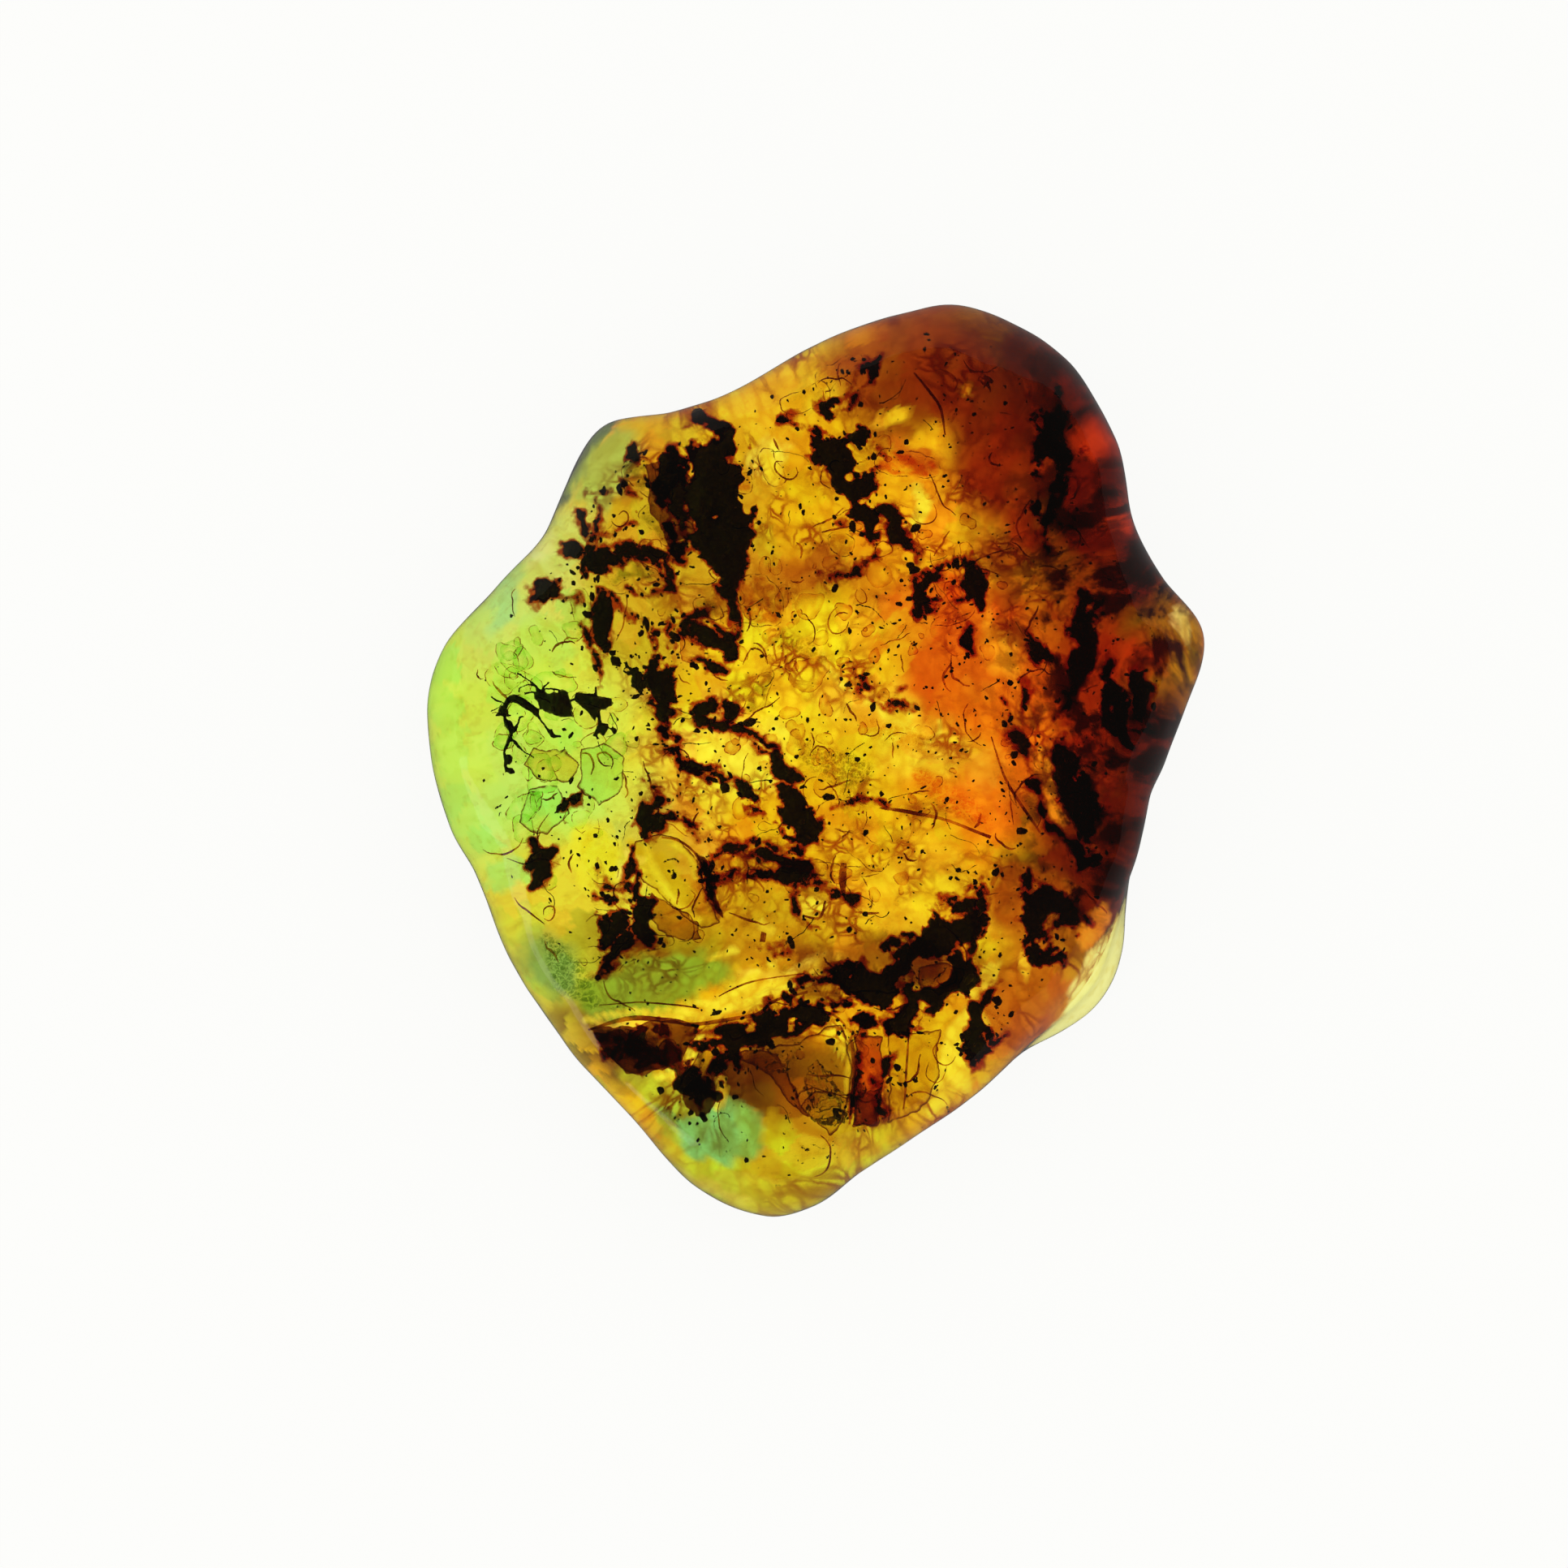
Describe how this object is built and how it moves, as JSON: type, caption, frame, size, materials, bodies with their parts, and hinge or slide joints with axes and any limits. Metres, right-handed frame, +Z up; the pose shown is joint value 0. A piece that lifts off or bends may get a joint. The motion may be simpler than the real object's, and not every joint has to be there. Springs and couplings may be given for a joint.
{
  "type": "insect in amber",
  "caption": "Polished amber nugget lying on its ground flat underside, with a small insect and dark bark and leaf litter sealed inside the clear resin.",
  "frame": {"origin": "on the flat ground on the underside, under the middle of the nugget, at the surface it lies on", "axes": "+Z up, out of the crown; +Y along the nugget's length, towards the dark red head end; +X to the right as the crown is looked down on"},
  "size_m": [0.0455, 0.0535, 0.0149],
  "materials": {
    "amber": "polished, clear golden amber, lime green at one side and dark red at the other",
    "insect": "blackened chitin, satin",
    "bark": "dark, ragged, matte, red-brown at thin edges",
    "leaf": "olive, fibrous, matte",
    "resin_chip": "olive-gold older resin, satin"
  },
  "bodies": {
    "root": {"amber_upper": "amber", "amber_lower": "amber", "insect": "insect", "bark_log": "bark", "bark_shreds": "bark", "root_star": "bark", "clump_by_insect": "bark", "leaf_frond": "leaf", "bark_crumb_upper": "bark", "bark_crumb_middle": "bark", "fine_twig": "bark", "slanting_twig": "bark", "arched_twig": "bark", "bark_clump_left": "bark", "upper_strip": "bark", "lower_strip": "bark", "bark_slab": "bark", "upright_splinter": "bark", "level_bark_band": "bark", "brown_flake": "bark", "round_knot": "bark", "wedge_chip": "resin_chip", "left_sliver": "bark", "right_sliver": "bark", "upright_slab": "bark", "upper_clump": "bark", "clump_tail": "bark", "hooked_crumb_left": "bark", "hooked_crumb_right": "bark", "fine_streak": "bark", "leaning_splinter": "bark", "right_clump_middle": "bark", "right_clump_low": "bark", "right_streak": "bark", "right_clump_upper": "bark", "crown_streak": "bark", "head_clump": "bark", "small_star": "bark", "red_flake": "bark", "pin_piece": "bark"}
  },
  "joints": []
}
